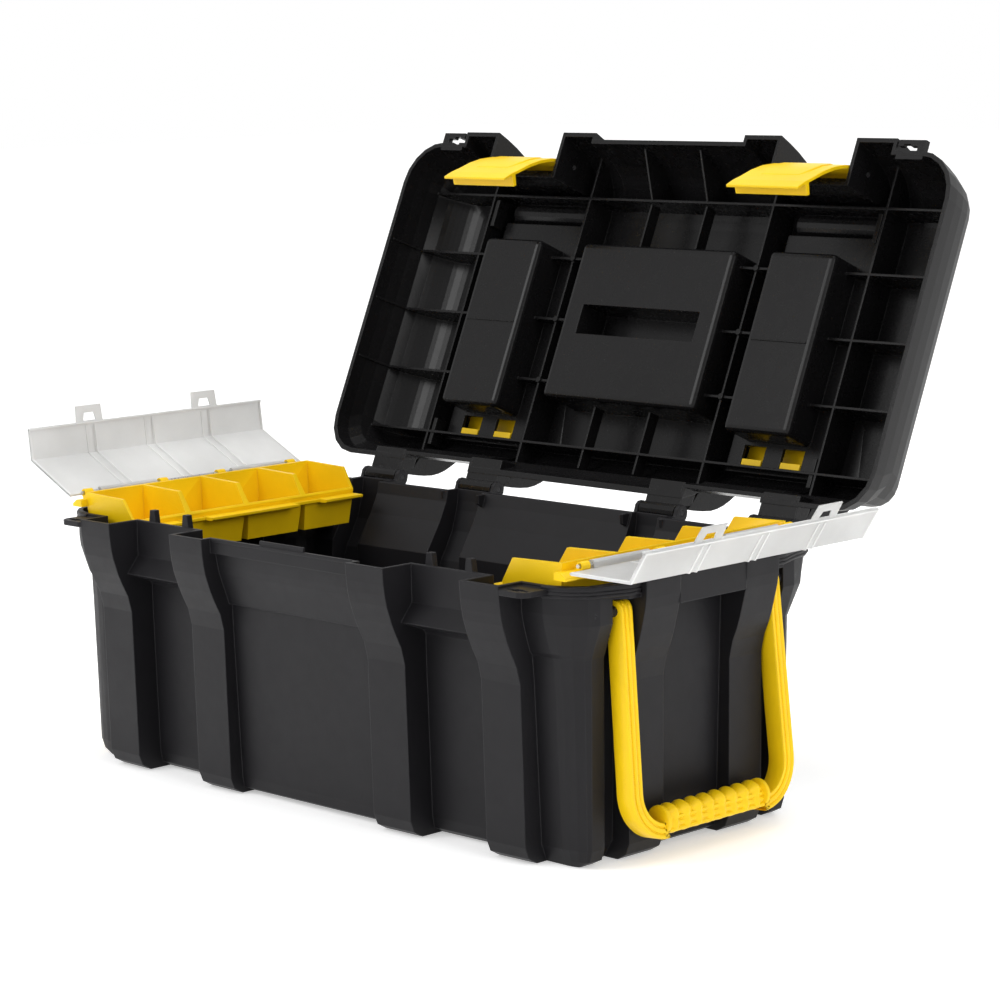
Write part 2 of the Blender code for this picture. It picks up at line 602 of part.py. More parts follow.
def build_tray(side, paint):
    """A tray of four cups, drawn for the right end and turned half round for the left."""
    name = "left" if side < 0 else "right"
    seat = pivot(f"tray_{name}_seat", (0, 0, 0), (0, 0, 0 if side > 0 else math.pi))

    def place(u, v, w):
        return (u, w, v)

    body = [(264, TRAY_FLOOR), (269.5, 220), (220.7, 218.5), (209, 200.5), (214, TRAY_FLOOR)]
    bm = bmesh.new()
    add_prism(bm, [body], TRAY_Y[0], TRAY_Y[1], place)
    for v in bm.verts:
        v.co.y -= math.copysign(END_DRAFT * lean(v.co.z), v.co.y)
    tray = finish(f"tray_{name}", bm, paint, seat)

    cup = [(262, TRAY_FLOOR + 2), (267.6, CUP_TOP), (206, CUP_TOP), (206, 214), (210.6, 201),
           (216, TRAY_FLOOR + 2)]
    for number, (low, high) in enumerate(zip(CUP_EDGES, CUP_EDGES[1:]), 1):
        near = low + (CUP_END_WALL if low == CUP_EDGES[0] else CUP_WALL)
        far = high - (CUP_END_WALL if high == CUP_EDGES[-1] else CUP_WALL)
        bm = bmesh.new()
        add_prism(bm, [cup], near, far, place)
        for v in bm.verts:
            v.co.y -= math.copysign(lean(v.co.z), v.co.y - (near + far) / 2)
        combine(tray, f"guide_cup_{name}_{number}", bm)
    bm = bmesh.new()
    for y in CUP_EDGES[1:-1]:
        foot, head = (CUP_WALL + lean(z) - NOTCH_SKIN for z in (TRAY_FLOOR - 1, NOTCH_TOP))
        notch = [(y - foot, TRAY_FLOOR - 1), (y + foot, TRAY_FLOOR - 1), (y + head, NOTCH_TOP), (y - head, NOTCH_TOP)]
        add_prism(bm, [notch], 200, 275, along_x)
    combine(tray, f"guide_notches_{name}", bm)

    bm = bmesh.new()
    add_prism(bm, [[(267.4, 208.6), (279, 208.6), (279, 210.8), (274, 214.3), (268, 214.3)]],
              -COVER_Y, COVER_Y, place)
    for low, high in ((-118, -77), (-47, 47), (77, 118)):
        add_prism(bm, [[(197, 195), (197, 197), (211.4, 197), (211.8, 194), (199, 194)]], low, high, place)
    combine(tray, f"guide_rails_{name}", bm, "UNION")
    bm = bmesh.new()
    for low, high in ((-78, -46), (46, 78)):
        add_prism(bm, [[(205.8, 194.3), (205.8, 196.7), (211.2, 196.7), (211.6, 194.3)]], low, high, place)
    combine(tray, f"guide_ledge_links_{name}", bm, "UNION")
    bm = bmesh.new()
    for y in LUGS_Y:
        lug = [(274, 209.5), (278.6, 209.5)] + arc(ROD_X, ROD_Z, 3.2, -25, 160, 5)
        add_prism(bm, [lug], y, y + LUG_LONG, place)
    combine(tray, f"guide_lugs_{name}", bm, "UNION")
    bm = bmesh.new()
    add_rod(bm, (ROD_X, -COVER_Y, ROD_Z), (ROD_X, COVER_Y, ROD_Z), ROD_R + GAP, 10)
    combine(tray, f"guide_rod_hole_{name}", bm)
    return seat


def build_cover(name, clear, steel, seat):
    """The clear bent cover of a tray with its two snap loops, and the rod that it turns on."""
    axis = pivot(f"cover_{name}_axis", (ROD_X, 0, ROD_Z), (0, COVER_OPEN[name], 0), seat)

    def place(u, v, w):
        return (u - ROD_X, w, v - ROD_Z)

    bend, top = math.radians(57), 222.3
    tip = (205.3, 199.2)
    across = (SHEET * math.sin(bend), SHEET * math.cos(bend))
    section = [(276.5, top), (219.5, top), (tip[0] - across[0] * 0.2, tip[1] + across[1] * 0.4),
               (tip[0] + across[0] * 0.9, tip[1] - across[1] * 0.6), (220.6, top - SHEET), (276.5, top - SHEET)]
    bm = bmesh.new()
    add_prism(bm, [section], -COVER_Y + 1, COVER_Y - 1, place)
    cover = finish(f"tray_cover_{name}", bm, clear, axis)
    bm = bmesh.new()
    slope = (-math.cos(bend), -math.sin(bend))
    for y in LOOPS_Y:
        outer = [(y - 14, -2), (y + 14, -2), (y + 13, 13.5), (y - 13, 13.5)]
        hole = [(y - 6.5, 0.8), (y + 6.5, 0.8), (y + 5, 7.2), (y - 5, 7.2)]

        def on_panel(u, v, w):
            x, z = tip[0] + slope[0] * v, tip[1] + slope[1] * v
            return place(x + across[0] * w, z - across[1] * w, u)

        add_prism(bm, [outer, hole], 0.05, 0.6, on_panel)
    for low, high in BARRELS_Y:
        barrel = arc(ROD_X, ROD_Z, 3.2, -150, 80, 8) + [(279, top - 0.2), (275.5, top - 0.2),
                                                        (275.5, top - SHEET + 0.2), (277, 220.6)]
        add_prism(bm, [barrel, circle(ROD_X, ROD_Z, ROD_R + GAP, 10)], low, high, place)
    combine(cover, f"guide_cover_parts_{name}", bm, "UNION")
    bm = bmesh.new()
    add_rod(bm, (0, LUGS_Y[0] - 2, 0), (0, LUGS_Y[-1] + LUG_LONG + 2, 0), ROD_R, 10)
    finish(f"tray_hinge_rod_{name}", bm, steel, axis)


# ---------------------------------------------------------------- bails

def bar_section(thick, deep):
    """An eight-sided bar section as (across, away) pairs."""
    t, d, c = thick / 2, deep / 2, thick * 0.29
    return [(t - c, -d), (t, -d + c), (t, d - c), (t - c, d), (-t + c, d), (-t, d - c), (-t, -d + c),
            (-t + c, -d)]


def bail_path():
    """Stations of the front half of a bail: y, z, heading, thickness and depth."""
    top = [(-LEG_TOP_Y, LEG_TOP * math.sin(a), 0, LEG_THICK, LEG_DEEP * math.cos(a)) for a in (1.1, 0.7, 0.3)]
    leg = [(-LEG_TOP_Y, -1, 0, LEG_THICK, LEG_DEEP)]
    turn = []
    for i in range(6):
        a = math.pi / 2 * i / 5
        turn.append((-LEG_Y + TURN_R - TURN_R * math.cos(a), -BAR_DROP + TURN_R - TURN_R * math.sin(a), a,
                     LEG_THICK, LEG_DEEP))
    grip = [(-GRIP_HALF - 1.5, -BAR_DROP, math.pi / 2, LEG_THICK, LEG_DEEP),
            (-GRIP_HALF, -GRIP_DROP, math.pi / 2, 2 * GRIP_R, 2 * GRIP_R)]
    return top + leg + turn + grip


def build_bail(side, paint):
    """A U-shaped handle with a stout grip, hanging on its two pins."""
    name = "left" if side < 0 else "right"
    axis = pivot(f"bail_{name}_axis", (side * BAIL_X, 0, BAIL_Z), (0, -side * BAIL_TILT, 0))
    front = bail_path()
    rear = [(-y, z, math.pi - a, thick, deep) for y, z, a, thick, deep in reversed(front)]
    rings = []
    for y, z, a, thick, deep in front + rear:
        rings.append([(side * away, y - across * math.cos(a), z - across * math.sin(a))
                      for across, away in bar_section(thick, deep)])
    bm = bmesh.new()
    loft(bm, rings)
    bail = finish(f"bail_{name}", bm, paint, axis)
    bm = bmesh.new()
    for end in (-1, 1):
        add_rod(bm, (0, end * (LEG_TOP_Y - 9), 0), (0, end * (LEG_TOP_Y + 9), 0), BAIL_PIN_R + GAP)
    combine(bail, f"guide_bail_holes_{name}", bm)


def main():
    for old in list(bpy.data.objects):
        bpy.data.objects.remove(old)
    black = material("black_plastic", BLACK, 0.5)
    yellow = material("yellow_plastic", YELLOW, 0.4)
    clear = material("clear_plastic", CLEAR, 0.35, transmission=0.8)
    steel = material("steel", STEEL, 0.35, metallic=1.0)

    build_tub(black)
    build_tub_pins(steel, black)
    hinge = pivot("lid_hinge", (0, HINGE_Y, HINGE_Z), (-LID_OPEN, 0, 0))
    build_lid(black, hinge)
    for side, name in ((-1, "left"), (1, "right")):
        build_latch(side, yellow, steel, hinge)
        build_organiser(side, yellow, hinge)
        build_cover(name, clear, steel, build_tray(side, yellow))
        build_bail(side, yellow)


main()
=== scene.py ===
"""Looks of the toolbox: moulded plastics, ridged bails, embossed covers, studio light and camera.

Lengths are in millimetres until piece() scales them. A place in the lid is (x, s, n): s runs from the
hinge axis to the front, n from the rim to the top. A mesh for the lid is drawn at (x, -s, n).
"""
import math

import bmesh
import bpy
from mathutils import Matrix, Vector
from mathutils.bvhtree import BVHTree


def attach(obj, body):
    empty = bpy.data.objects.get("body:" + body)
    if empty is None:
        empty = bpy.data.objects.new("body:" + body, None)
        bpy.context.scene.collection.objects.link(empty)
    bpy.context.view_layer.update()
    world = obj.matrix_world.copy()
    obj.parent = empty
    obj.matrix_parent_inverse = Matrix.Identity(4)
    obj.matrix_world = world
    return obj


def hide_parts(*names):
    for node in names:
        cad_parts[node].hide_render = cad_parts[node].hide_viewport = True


MM = 0.001
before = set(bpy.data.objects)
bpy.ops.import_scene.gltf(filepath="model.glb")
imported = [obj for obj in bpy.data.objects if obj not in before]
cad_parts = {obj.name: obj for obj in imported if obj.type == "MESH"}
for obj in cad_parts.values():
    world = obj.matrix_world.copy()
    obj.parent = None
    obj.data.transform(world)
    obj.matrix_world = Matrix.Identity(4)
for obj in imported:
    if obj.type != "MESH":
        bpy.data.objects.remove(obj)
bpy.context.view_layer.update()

# Camera, in metres and turned from looking along +Y
EYE = Vector((1.7543, -1.6411, 0.5862))
YAW = math.radians(45.4228)
PITCH = math.radians(8.5914)
ROLL = math.radians(-1.1012)
LENS = 112.28
SENSOR = 36.0

# Places taken from the CAD model
SIDES = (("left", -1), ("right", 1))
LID_AXIS = (0, 165.0, 206.0)
LID_OPEN = math.radians(113.9)
LATCH_AXIS = (294.0, 20.0)          # s and n
LATCH_REST = math.radians(35.0)
LATCH_GAP_X = (124.0, 197.6)
ROD = (279.5, 218.0)                # x and z of a tray cover's hinge rod
COVER_OPEN = {"left": math.radians(154.0), "right": math.radians(180.0)}
COVER_TOP = 222.3
COVER_BEND_X = 219.5
COVER_BEND = math.radians(57.0)
COVER_DROP = 26.0
SHEET = 1.8                         # thickness of a cover
PANELS_Y = (-125.0, -62.0, 0.0, 62.0, 125.0)
BAIL_PIVOT = (285.5, 183.0)
BAIL_TILT = math.radians(4.7)
LEG_Y = 82.0
LEG_TOP_Y = 79.0
LEG_DEPTH_HALF = 8.0
TURN_R = 30.0
BAR_DROP = 161.0
GRIP_DROP = 154.0
GRIP_R = 11.0
GRIP_HALF = 55.5
GRIP_BUMPS = 8
EYE_DISCS = ((6.4, 4.6, 5.6), (3.2, 5.2, 6.2))      # radius, and from where to where beside the leg

# Moulded lines of the covers and latches
RIDGE_APART = 3.6
UNDER_SPREAD = 1.3      # the ridges underneath stand wider, clear of the tray's partitions
RIDGE_HALF = 0.6
BEADS_S = (76.0, 152.0, 228.0)
BEADS_X = (130.0, 194.0)
BEAD_N = (65.3, 66.0)
LATCH_PANEL = ((11.5, -14), (13.4, -22), (15.0, -34), (14.9, -46), (13.6, -57))     # (s, n) from its pin
LATCH_LIP = ((-10.4, -8.0), (-79.8, -78.2))         # its spans of -s and n

# Inside of the lid: gussets behind the front wall as (s, n), ribs down the end walls as (x, n)
SHORT_RIBS_X = (-31.0, 31.0)
SHORT_RIB_SPANS = ((34, 88), (229.5, 268))
SHORT_RIB_N = (33.5, 45)
GUSSET = ((271.0, 33.0), (308.5, 7.0), (309.5, 9.0), (305.8, 24.0), (302.3, 36.0), (297.3, 46.0),
          (290.3, 54.0), (282.3, 60.0), (272.0, 64.0))
BIN_SEAM_X = (134.0, 190.4)
BIN_SEAM = ((-151.9, -150.5), (13.7, 15))           # its spans of -s and n
STUB_X = (212.0, 216.0)
STUBS_S = (52.0, 255.0)
STUB_N = (34, 46)
LATCH_WEB = ((-287.6, -278.0), (12.0, 14.5))        # its spans of -s and n
BOSS_X = 103.0                                      # a boss stands on a rib line at each WALL_RIBS_S
BOSS_N = 36.0
WALL_RIBS_S = (106.4, 161.3, 216.2)
WALL_RIB = ((290.0, 34.0), (294.3, 22.0), (297.4, 10.0), (299.3, 2.5), (301.5, 2.5), (299.5, 14.0),
            (296.0, 28.0), (293.0, 36.0))

# Piers over the lid's hinges: their widths, and their rounded back as (s, n)
PIERS_X = ((-238.8, -202.2), (-121.0, -84.5), (84.5, 121.0), (202.2, 238.8))
PIER_BACK = ((5.2, 4), (6, 12), (7, 18), (9.6, 28), (12.7, 37), (16.5, 44), (21, 50), (27, 56), (34, 62),
             (41, 65.2))
RAY_BACK = 60.0         # how far behind the hinge axis the rays start that find the lid's back wall
PIER_ROOT = 1.0         # how deep a pier sinks into that wall

# Moulded lines of the tub's rim: paths seen from above, and sections as (out, z)
RIM_LIP = ((-79.0, -144.2), (79.0, -144.2))
RIM_LIP_SECTION = ((-1.4, 202.0), (0.9, 202.0), (0.9, 204.3), (0.3, 204.8), (-0.9, 204.8))
RIM_LIP_MIDDLE = ((-25.0, -143.6), (25.0, -143.6))
MIDDLE_SECTION = ((-2.2, 203.0), (-0.2, 203.0), (-0.2, 207.6), (-0.8, 208.2), (-2.2, 208.2))
CORNER_START = 258.0
CORNER_SPAN = 33.0
CORNER_Y = 104.0
CORNER_CURVE = ((0, 1), (0.27, 0.93), (0.62, 0.72), (0.9, 0.36), (1, 0))
CORNER_DEPTHS = ((-1, 127.5), (1, 144.5))     # front and rear
CORNER_TAIL = ((299.0, 82.5), (299.0, 72.0))
CORNER_SECTION = ((-1.5, 195.5), (0.9, 195.5), (1.5, 196.1), (1.5, 197.4), (0.8, 197.8), (0.8, 198.2),
                  (1.5, 198.6), (1.5, 199.9), (0.8, 200.3), (0.8, 200.7), (1.5, 201.1), (1.5, 203.6),
                  (0.9, 204.3), (-1.5, 204.3))

# Edges and light
SHARP = math.radians(38)            # edges steeper than this stay sharp in the shading
BEVELLED = math.radians(34)         # edges steeper than this are rounded
ZENITH = 0.65                       # brightness of the surround overhead, against 1 at the horizon
LIT_AT = (0, 0.05, 0.2)             # metres
LIGHTS = (("key", (-0.9, -2.2, 2.0), (1.3, 1.0), 24),
          ("fill", (2.4, -0.2, 1.4), (1.0, 1.0), 10),
          ("top", (0.1, 0.2, 2.4), (1.6, 1.0), 20),
          ("back", (-0.6, 2.2, 1.6), (1.2, 0.8), 8))


# ---------------------------------------------------------------- materials

def node(tree, kind, **inputs):
    """A shader node with its input values set by name."""
    made = tree.nodes.new(kind)
    for key, value in inputs.items():
        made.inputs[key.replace("_", " ")].default_value = value
    return made


def remap(tree, source, low, high, start=0.0, end=1.0):
    """Reads a 0 to 1 value over part of its range as low to high."""
    made = node(tree, "ShaderNodeMapRange", From_Min=start, From_Max=end, To_Min=low, To_Max=high)
    tree.links.new(source, made.inputs["Value"])
    return made.outputs["Result"]


def plastic(name, colour, edge_highlight_colour, rough, grain, size=900.0, edge_radius=0.7, shine=0.25, uneven=0.05,
            transmission=0.0, ior=1.5):
    """Moulded plastic: fine grain, uneven gloss, faint clouds of colour and a painted highlight along its
    edges, broken into patches.
    """
    made = bpy.data.materials.new(name)
    made.use_nodes = True
    tree = made.node_tree
    shader = tree.nodes["Principled BSDF"]
    shader.inputs["IOR"].default_value = ior
    shader.inputs["Specular IOR Level"].default_value = shine
    shader.inputs["Transmission Weight"].default_value = transmission
    place = tree.nodes.new("ShaderNodeTexCoord").outputs["Object"]

    fine = node(tree, "ShaderNodeTexNoise", Scale=size, Detail=4.0, Roughness=0.65)
    cloud = node(tree, "ShaderNodeTexNoise", Scale=14.0, Detail=5.0, Roughness=0.55)
    patch_noise = node(tree, "ShaderNodeTexNoise", Scale=90.0, Detail=6.0, Roughness=0.7)
    for texture in (fine, cloud, patch_noise):
        tree.links.new(place, texture.inputs["Vector"])

    rounded = node(tree, "ShaderNodeBevel", Radius=edge_radius * MM)
    rounded.samples = 6
    flat = tree.nodes.new("ShaderNodeNewGeometry").outputs["Normal"]
    agree = tree.nodes.new("ShaderNodeVectorMath")
    agree.operation = "DOT_PRODUCT"
    tree.links.new(rounded.outputs["Normal"], agree.inputs[0])
    tree.links.new(flat, agree.inputs[1])
    # Painted edge highlight: where the rounded normal parts from the flat one, the colour turns to the edge
    # highlight colour in patches.
    edge = remap(tree, agree.outputs["Value"], 1.0, 0.0, 0.90, 0.995)
    edge_highlight_mask = tree.nodes.new("ShaderNodeMath")
    edge_highlight_mask.operation = "MULTIPLY"
    tree.links.new(edge, edge_highlight_mask.inputs[0])
    tree.links.new(remap(tree, patch_noise.outputs["Fac"], 0.25, 1.0, 0.35, 0.6), edge_highlight_mask.inputs[1])

    tint = node(tree, "ShaderNodeMix")
    tint.data_type = "RGBA"
    tint.inputs["A"].default_value = (*colour, 1)
    tint.inputs["B"].default_value = (*[c * 0.86 for c in colour], 1)
    tree.links.new(remap(tree, cloud.outputs["Fac"], 0.0, 1.0, 0.35, 0.7), tint.inputs["Factor"])
    edge_highlight_mix = node(tree, "ShaderNodeMix")
    edge_highlight_mix.data_type = "RGBA"
    edge_highlight_mix.inputs["B"].default_value = (*edge_highlight_colour, 1)
    tree.links.new(tint.outputs["Result"], edge_highlight_mix.inputs["A"])
    tree.links.new(edge_highlight_mask.outputs["Value"], edge_highlight_mix.inputs["Factor"])
    tree.links.new(edge_highlight_mix.outputs["Result"], shader.inputs["Base Color"])

    tree.links.new(remap(tree, patch_noise.outputs["Fac"], rough - uneven, rough + uneven, 0.3, 0.7),
                   shader.inputs["Roughness"])
    bump = node(tree, "ShaderNodeBump", Strength=grain, Distance=0.25 * MM)
    bump.name = "grain"
    tree.links.new(fine.outputs["Fac"], bump.inputs["Height"])
    tree.links.new(rounded.outputs["Normal"], bump.inputs["Normal"])
    tree.links.new(bump.outputs["Normal"], shader.inputs["Normal"])
    return made


def grain_outside(paint, away, grain, rough):
    """Coarser grain and less gloss on the faces that look the given way, the outside of a shell."""
    tree = paint.node_tree
    gloss = tree.nodes["Principled BSDF"].inputs["Roughness"]
    facing = tree.nodes.new("ShaderNodeVectorMath")
    facing.operation = "DOT_PRODUCT"
    facing.inputs[1].default_value = away
    tree.links.new(tree.nodes.new("ShaderNodeTexCoord").outputs["Normal"], facing.inputs[0])
    outer = remap(tree, facing.outputs["Value"], 0.0, 1.0, 0.05, 0.12)
    bump = tree.nodes["grain"]
    tree.links.new(remap(tree, outer, bump.inputs["Strength"].default_value, grain), bump.inputs["Strength"])
    duller = tree.nodes.new("ShaderNodeMath")
    duller.operation = "MAXIMUM"
    tree.links.new(gloss.links[0].from_socket, duller.inputs[0])
    tree.links.new(remap(tree, outer, 0.0, rough), duller.inputs[1])
    tree.links.new(duller.outputs["Value"], gloss)


def drawn_steel(name, colour):
    """Wire, with fine lines drawn along it."""
    made = bpy.data.materials.new(name)
    made.use_nodes = True
    tree = made.node_tree
    shader = tree.nodes["Principled BSDF"]
    shader.inputs["Base Color"].default_value = (*colour, 1)
    shader.inputs["Metallic"].default_value = 1.0
    place = tree.nodes.new("ShaderNodeTexCoord").outputs["Object"]
    stretch = node(tree, "ShaderNodeMapping", Scale=(30.0, 900.0, 900.0))
    lines = node(tree, "ShaderNodeTexNoise", Scale=1.0, Detail=3.0)
    tree.links.new(place, stretch.inputs["Vector"])
    tree.links.new(stretch.outputs["Vector"], lines.inputs["Vector"])
    tree.links.new(remap(tree, lines.outputs["Fac"], 0.22, 0.42, 0.3, 0.7), shader.inputs["Roughness"])
    bump = node(tree, "ShaderNodeBump", Strength=0.15, Distance=0.1 * MM)
    tree.links.new(lines.outputs["Fac"], bump.inputs["Height"])
    tree.links.new(bump.outputs["Normal"], shader.inputs["Normal"])
    return made


# The second colour of each plastic is painted onto its edges as a highlight.
GRAINED = plastic("black_grained", (0.0105, 0.0100, 0.0115), (0.028, 0.027, 0.030), 0.46, 0.28,
                  edge_radius=1.2, shine=0.19)
SMOOTH = plastic("black_smooth", (0.0065, 0.0062, 0.0065), (0.02, 0.02, 0.02), 0.27, 0.03, 400.0,
                 shine=0.2, uneven=0.02)
SHELL = plastic("black_lid", (0.0070, 0.0067, 0.0071), (0.022, 0.021, 0.022), 0.27, 0.03, 900.0, 1.0,
                shine=0.2, uneven=0.02)
grain_outside(SHELL, (0, math.sin(LID_OPEN), math.cos(LID_OPEN)), 0.30, 0.45)
YELLOW = plastic("yellow_moulded", (0.94, 0.61, 0.005), (0.96, 0.64, 0.02), 0.36, 0.08, 500.0, shine=0.25,
                 uneven=0.03)
FROSTED = plastic("clear_frosted", (0.84, 0.84, 0.83), (0.83, 0.83, 0.83), 0.42, 0.10, 600.0, 0.4,
                  transmission=0.55, ior=1.42)
FROSTED_EDGE = plastic("clear_frosted_edge", (0.95, 0.95, 0.94), (0.97, 0.97, 0.97), 0.38, 0.08, 600.0, 0.4,
                       transmission=0.2, ior=1.42)
STEEL = drawn_steel("drawn_steel", (0.56, 0.56, 0.58))
BLACKENED = drawn_steel("blackened_steel", (0.03, 0.03, 0.031))


# ---------------------------------------------------------------- mesh helpers

def piece(name, bm, paint, body, place=Matrix.Identity(4), bevel=0.0):
    """A new piece from a bmesh drawn in millimetres, put in place and fixed to its body."""
    bmesh.ops.recalc_face_normals(bm, faces=bm.faces)
    bm.transform(Matrix.Scale(MM, 4) @ place)
    mesh = bpy.data.meshes.new(name)
    bm.to_mesh(mesh)
    bm.free()
    mesh.materials.append(paint)
    mesh.shade_smooth()
    mesh.set_sharp_from_angle(angle=SHARP)
    made = bpy.data.objects.new(name, mesh)
    bpy.context.scene.collection.objects.link(made)
    if bevel:
        soften(made, bevel)
    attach(made, body)
    return made


def soften(made, width):
    """Rounds the edges of a piece or a CAD node without touching its mesh."""
    weld = made.modifiers.new("weld", "WELD")
    weld.merge_threshold = 0.02 * MM
    bevel = made.modifiers.new("edges", "BEVEL")
    bevel.width = width * MM
    bevel.segments = 2
    bevel.limit_method = "ANGLE"
    bevel.angle_limit = BEVELLED
    bevel.use_clamp_overlap = True
    bevel.harden_normals = True


def dress(names, paint, bevel=0.0):
    """Gives CAD nodes their finished material and, where it suits them, rounded edges."""
    for name in names:
        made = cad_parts[name]
        made.data.materials.clear()
        made.data.materials.append(paint)
        if bevel:
            soften(made, bevel)


def loft(bm, rings):
    """Joins equal rings of points in turn and closes both ends."""
    rows = [[bm.verts.new(p) for p in ring] for ring in rings]
    for low, high in zip(rows, rows[1:]):
        for i in range(len(low)):
            bm.faces.new((low[i - 1], low[i], high[i], high[i - 1]))
    bm.faces.new(rows[0])
    bm.faces.new(rows[-1])


def add_box(bm, xs, ys, zs):
    """A box between two values on each axis."""
    size = (abs(xs[1] - xs[0]), abs(ys[1] - ys[0]), abs(zs[1] - zs[0]), 1)
    middle = (sum(xs) / 2, sum(ys) / 2, sum(zs) / 2)
    bmesh.ops.create_cube(bm, size=1, matrix=Matrix.Translation(middle) @ Matrix.Diagonal(size))


def lid_place():
    """From the lid's own (x, -s, n) to the world, in millimetres, with the lid open as at rest."""
    return Matrix.Translation(LID_AXIS) @ Matrix.Rotation(-LID_OPEN, 4, "X")


def cover_place(name):
    """From a shut right-hand cover, drawn about its rod, to that cover at rest."""
    turn = Matrix.Rotation(math.pi if name == "left" else 0.0, 4, "Z")
    return turn @ Matrix.Translation((ROD[0], 0, ROD[1])) @ Matrix.Rotation(COVER_OPEN[name], 4, "Y")


# ---------------------------------------------------------------- bails

def leg_section(size):
    """Bar section as (across, away): flat sides, three rounded ridges on its outer and its inner face."""
    face = [(5.9, 6.6), (5.3, 7.7), (4.1, 7.9), (3.0, 7.5), (2.4, 6.6), (1.9, 6.6), (1.5, 7.6), (0.6, 7.9)]
    face += [(-across, away) for across, away in reversed(face)]
    back = [(-across, -away) for across, away in face]
    return [(across, away * size) for across, away in face + back]


def bail_mesh(side):
    """The U of a bail, rib for rib, with the sweep carried through the grip."""
    path = [(-LEG_TOP_Y, LEG_DEPTH_HALF * math.sin(a), 0, math.cos(a)) for a in (1.25, 1.0, 0.75, 0.5, 0.25)]
    path.append((-LEG_TOP_Y, -1, 0, 1))
    path.append((-LEG_Y, -BAR_DROP + TURN_R, 0, 1))
    for i in range(1, 15):
        a = math.pi / 2 * i / 14
        path.append((-LEG_Y + TURN_R - TURN_R * math.cos(a), -BAR_DROP + TURN_R - TURN_R * math.sin(a), a, 1))
    path += [(-GRIP_HALF - 1.0, -BAR_DROP + 0.8, math.pi / 2, 1),
             (-GRIP_HALF + 3, (-BAR_DROP - GRIP_DROP) / 2, math.pi / 2, 0.9)]
    path += [(-y, z, math.pi - a, size) for y, z, a, size in reversed(path)]
    bm = bmesh.new()
    loft(bm, [[(side * away, y - across * math.cos(a), z - across * math.sin(a))
               for across, away in leg_section(size)] for y, z, a, size in path])
    return bm


def grip_mesh():
    """The moulded hand grip: two rows of faceted bumps between plain collars."""
    sides = 32
    collar = 5.0
    pitch = 2 * (GRIP_HALF - collar) / GRIP_BUMPS
    stations = [(-GRIP_HALF, 0.86), (-GRIP_HALF + 0.8, 0.98), (-GRIP_HALF + collar - 1.5, 0.98),
                (-GRIP_HALF + collar, 0.66)]
    for i in range(GRIP_BUMPS):
        start = -GRIP_HALF + collar + i * pitch
        stations += [(start + pitch * 0.45, 1.0), (start + pitch * 0.55, 1.0), (start + pitch, 0.66)]
    stations += [(GRIP_HALF - collar + 1.5, 0.98), (GRIP_HALF - 0.8, 0.98), (GRIP_HALF, 0.86)]
    bm = bmesh.new()
    rings = []
    for y, size in stations:
        ring = []
        for i in range(sides):
            a = 2 * math.pi * (i + 0.5) / sides
            split = 0.28 * max(0.0, 1 - abs(math.sin(a)) / 0.7) if abs(y) <= GRIP_HALF - collar else 0.0
            r = GRIP_R * (size - split)
            ring.append((r * math.cos(a), y, -GRIP_DROP + r * math.sin(a)))
        rings.append(ring)
    loft(bm, rings)
    return bm


def build_bails():
    """The bow, the grip and the pivot eyes of each bail, in place of its plain solid."""
    turn = Matrix.Rotation(math.pi / 2, 4, "X")
    for name, side in SIDES:
        place = (Matrix.Translation((side * BAIL_PIVOT[0], 0, BAIL_PIVOT[1]))
                 @ Matrix.Rotation(-side * BAIL_TILT, 4, "Y"))
        body = f"bail_{name}"
        bow = piece(f"bail_bow_{name}", bail_mesh(side), YELLOW, body, place)
        grip = piece(f"bail_grip_{name}", grip_mesh(), YELLOW, body, place, 0.5)
        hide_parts(f"bail_{name}")
        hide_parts(f"bail_{name}")
        bm = bmesh.new()
        for end in (-1, 1):
            for radius, low, high in EYE_DISCS:
                for face in (-1, 1):
                    y = end * LEG_TOP_Y + face * (low + high) / 2
                    bmesh.ops.create_cone(bm, cap_ends=True, segments=24, radius1=radius, radius2=radius,
                                          depth=high - low, matrix=Matrix.Translation((0, y, 0)) @ turn)
        piece(f"bail_eyes_{name}", bm, YELLOW, body, place, 0.3)


# ---------------------------------------------------------------- covers, latches and organisers

def cover_emboss():
    """Fine double ridges between the four panels of a cover and a stouter edge all round it."""
    bm = bmesh.new()
    top = COVER_TOP - ROD[1]
    knee = COVER_BEND_X - ROD[0]
    along = Vector((-math.cos(COVER_BEND), -math.sin(COVER_BEND)))
    out = Vector((-math.sin(COVER_BEND), math.cos(COVER_BEND)))
    bend = Vector((knee, top))

    def strip(y, wide, start, reach, low, high):
        """A ridge across the cover, from low to high above its outer face."""
        lean = math.tan(COVER_BEND / 2)
        rings = []
        for point, rise, slant in ((Vector((start, top)), Vector((0, 1)), 0), (bend, Vector((0, 1)), -lean),
                                   (bend + along * reach, out, 0)):
            ends = [point + rise * h + Vector((slant * h, 0)) for h in (low, high)]
            rings.append([(ends[0].x, y - wide, ends[0].y), (ends[1].x, y - wide, ends[1].y),
                          (ends[1].x, y + wide, ends[1].y), (ends[0].x, y + wide, ends[0].y)])
        loft(bm, rings)

    for y in PANELS_Y[1:-1]:
        for offset in (-RIDGE_APART, RIDGE_APART):
            strip(y + offset, RIDGE_HALF, -6, COVER_DROP - 2, -0.3, 0.7)
            strip(y + offset * UNDER_SPREAD, RIDGE_HALF, -6, COVER_DROP - 2, -SHEET - 0.7, -SHEET + 0.3)
    for y in (PANELS_Y[0] + 1.1, PANELS_Y[-1] - 1.1):
        strip(y, 0.9, -4, COVER_DROP, -SHEET - 0.4, 0.25)
    tip = bend + along * COVER_DROP
    corners = ((-0.9, 0.3), (0.4, 0.3), (0.4, -SHEET - 1.6), (-0.9, -SHEET - 1.6))
    edge = [tip + along * t + out * h for t, h in corners]
    loft(bm, [[(p.x, y, p.y) for p in edge] for y in (PANELS_Y[0] + 0.2, PANELS_Y[-1] - 0.2)])
    return bm


